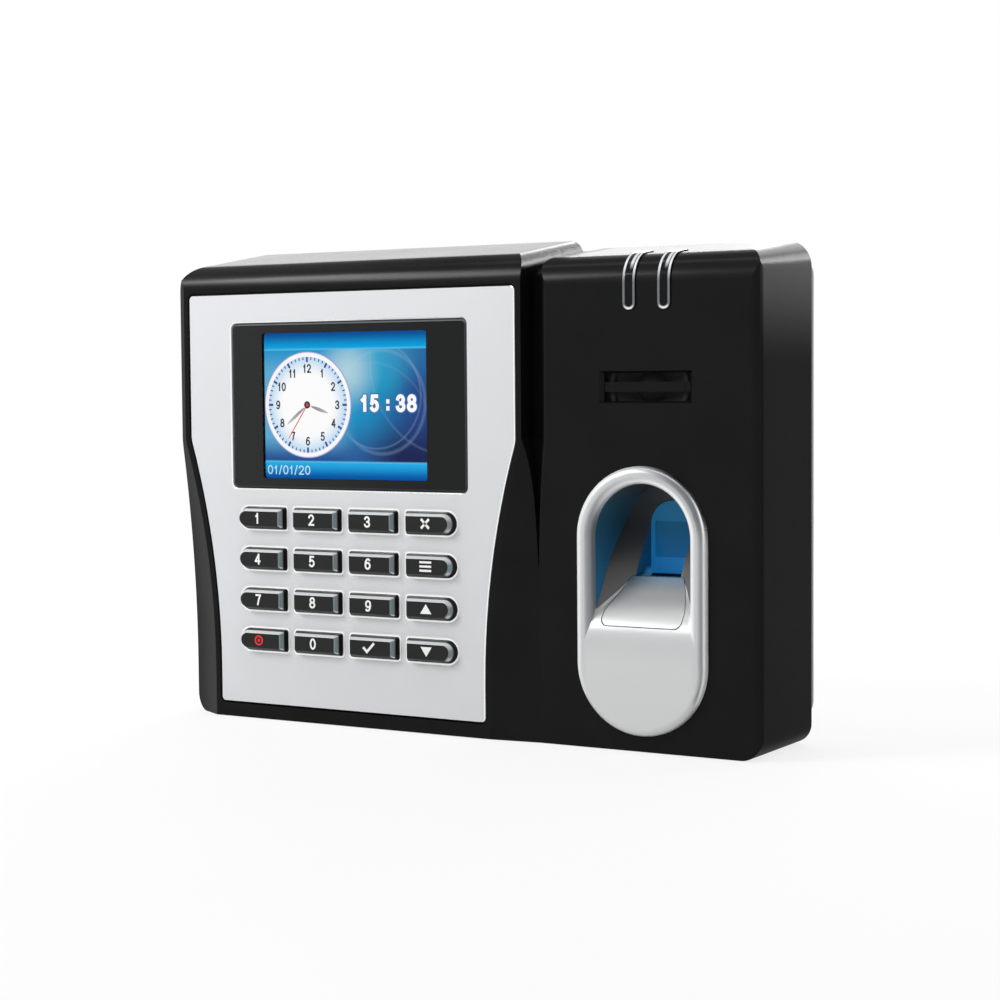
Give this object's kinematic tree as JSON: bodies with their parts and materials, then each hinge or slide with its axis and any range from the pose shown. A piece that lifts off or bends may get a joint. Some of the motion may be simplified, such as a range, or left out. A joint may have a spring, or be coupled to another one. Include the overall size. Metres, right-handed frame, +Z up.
{
  "type": "fingerprint scanner terminal",
  "caption": "Wall-mounted fingerprint terminal: black two-block case, waisted silver panel with screen and press keys, speaker slot and an oval silver-rimmed finger well.",
  "frame": {"origin": "centre of the bottom of the terminal's bounding box", "axes": "+X to the right as seen from the front, +Y from the keys to the wall, +Z up"},
  "size_m": [0.1924, 0.0424, 0.1415],
  "materials": {
    "housing": "fine satin",
    "panel": "light silver, satin",
    "lens": "gloss, smoked",
    "screen": "gloss",
    "steel": "satin",
    "white_plastic": "satin",
    "ribbon": "film",
    "key": "satin",
    "mat": "matte",
    "board": "varnished",
    "clear": "clear",
    "led": "gloss",
    "speaker_frame": "satin",
    "paper": "matte",
    "foam": "matte",
    "silver": "satin silver",
    "pad": "satin",
    "guide": "satin",
    "blue": "translucent",
    "sensor_glass": "clear, lit blue",
    "black_plastic": "matte",
    "chip": "matte",
    "cover": "satin",
    "plate": "zinc plated",
    "screw": "plated"
  },
  "bodies": {
    "case": {"front_housing": "housing", "control_panel": "panel", "display_lens": "lens", "lcd_frame": "steel", "lcd_glass": "screen", "lcd_backlight": "white_plastic", "lcd_holder": "black_plastic", "lcd_ribbon": "ribbon", "keypad_mat": "mat", "front_board": "board", "light_guide_left": "clear", "light_guide_right": "clear", "indicator_leds": "led", "indicator_board": "board", "speaker_gasket": "foam", "speaker_basket": "speaker_frame", "speaker_cone": "paper", "scanner_bezel": "silver", "finger_guide": "guide", "ramp_pad": "pad", "sensor_frame": "blue", "sensor_glass": "sensor_glass", "sensor_prism": "sensor_glass", "sensor_body": "black_plastic", "sensor_camera": "black_plastic", "sensor_board": "board", "sensor_ribbon": "ribbon", "main_board": "board", "network_socket": "steel", "usb_socket": "steel", "power_socket": "black_plastic", "coin_cell_holder": "black_plastic", "coin_cell": "steel", "processor_shield": "steel", "board_chips": "chip", "display_ribbon": "ribbon", "back_cover": "cover", "wall_plate": "plate", "lock_screw": "screw", "case_screws": "screw", "board_screws": "screw"},
    "key_1": {"key_1": "key"},
    "key_2": {"key_2": "key"},
    "key_3": {"key_3": "key"},
    "key_cancel": {"key_cancel": "key"},
    "key_4": {"key_4": "key"},
    "key_5": {"key_5": "key"},
    "key_6": {"key_6": "key"},
    "key_menu": {"key_menu": "key"},
    "key_7": {"key_7": "key"},
    "key_8": {"key_8": "key"},
    "key_9": {"key_9": "key"},
    "key_up": {"key_up": "key"},
    "key_power": {"key_power": "key"},
    "key_0": {"key_0": "key"},
    "key_confirm": {"key_confirm": "key"},
    "key_down": {"key_down": "key"}
  },
  "joints": [
    {"name": "key_1_press", "type": "slide", "parent": "case", "child": "key_1", "axis": [0, 1, 0], "range_m": [0, 0.0012], "stiffness_N_per_m": 600},
    {"name": "key_2_press", "type": "slide", "parent": "case", "child": "key_2", "axis": [0, 1, 0], "range_m": [0, 0.0012], "stiffness_N_per_m": 600},
    {"name": "key_3_press", "type": "slide", "parent": "case", "child": "key_3", "axis": [0, 1, 0], "range_m": [0, 0.0012], "stiffness_N_per_m": 600},
    {"name": "key_cancel_press", "type": "slide", "parent": "case", "child": "key_cancel", "axis": [0, 1, 0], "range_m": [0, 0.0012], "stiffness_N_per_m": 600},
    {"name": "key_4_press", "type": "slide", "parent": "case", "child": "key_4", "axis": [0, 1, 0], "range_m": [0, 0.0012], "stiffness_N_per_m": 600},
    {"name": "key_5_press", "type": "slide", "parent": "case", "child": "key_5", "axis": [0, 1, 0], "range_m": [0, 0.0012], "stiffness_N_per_m": 600},
    {"name": "key_6_press", "type": "slide", "parent": "case", "child": "key_6", "axis": [0, 1, 0], "range_m": [0, 0.0012], "stiffness_N_per_m": 600},
    {"name": "key_menu_press", "type": "slide", "parent": "case", "child": "key_menu", "axis": [0, 1, 0], "range_m": [0, 0.0012], "stiffness_N_per_m": 600},
    {"name": "key_7_press", "type": "slide", "parent": "case", "child": "key_7", "axis": [0, 1, 0], "range_m": [0, 0.0012], "stiffness_N_per_m": 600},
    {"name": "key_8_press", "type": "slide", "parent": "case", "child": "key_8", "axis": [0, 1, 0], "range_m": [0, 0.0012], "stiffness_N_per_m": 600},
    {"name": "key_9_press", "type": "slide", "parent": "case", "child": "key_9", "axis": [0, 1, 0], "range_m": [0, 0.0012], "stiffness_N_per_m": 600},
    {"name": "key_up_press", "type": "slide", "parent": "case", "child": "key_up", "axis": [0, 1, 0], "range_m": [0, 0.0012], "stiffness_N_per_m": 600},
    {"name": "key_power_press", "type": "slide", "parent": "case", "child": "key_power", "axis": [0, 1, 0], "range_m": [0, 0.0012], "stiffness_N_per_m": 600},
    {"name": "key_0_press", "type": "slide", "parent": "case", "child": "key_0", "axis": [0, 1, 0], "range_m": [0, 0.0012], "stiffness_N_per_m": 600},
    {"name": "key_confirm_press", "type": "slide", "parent": "case", "child": "key_confirm", "axis": [0, 1, 0], "range_m": [0, 0.0012], "stiffness_N_per_m": 600},
    {"name": "key_down_press", "type": "slide", "parent": "case", "child": "key_down", "axis": [0, 1, 0], "range_m": [0, 0.0012], "stiffness_N_per_m": 600}
  ]
}
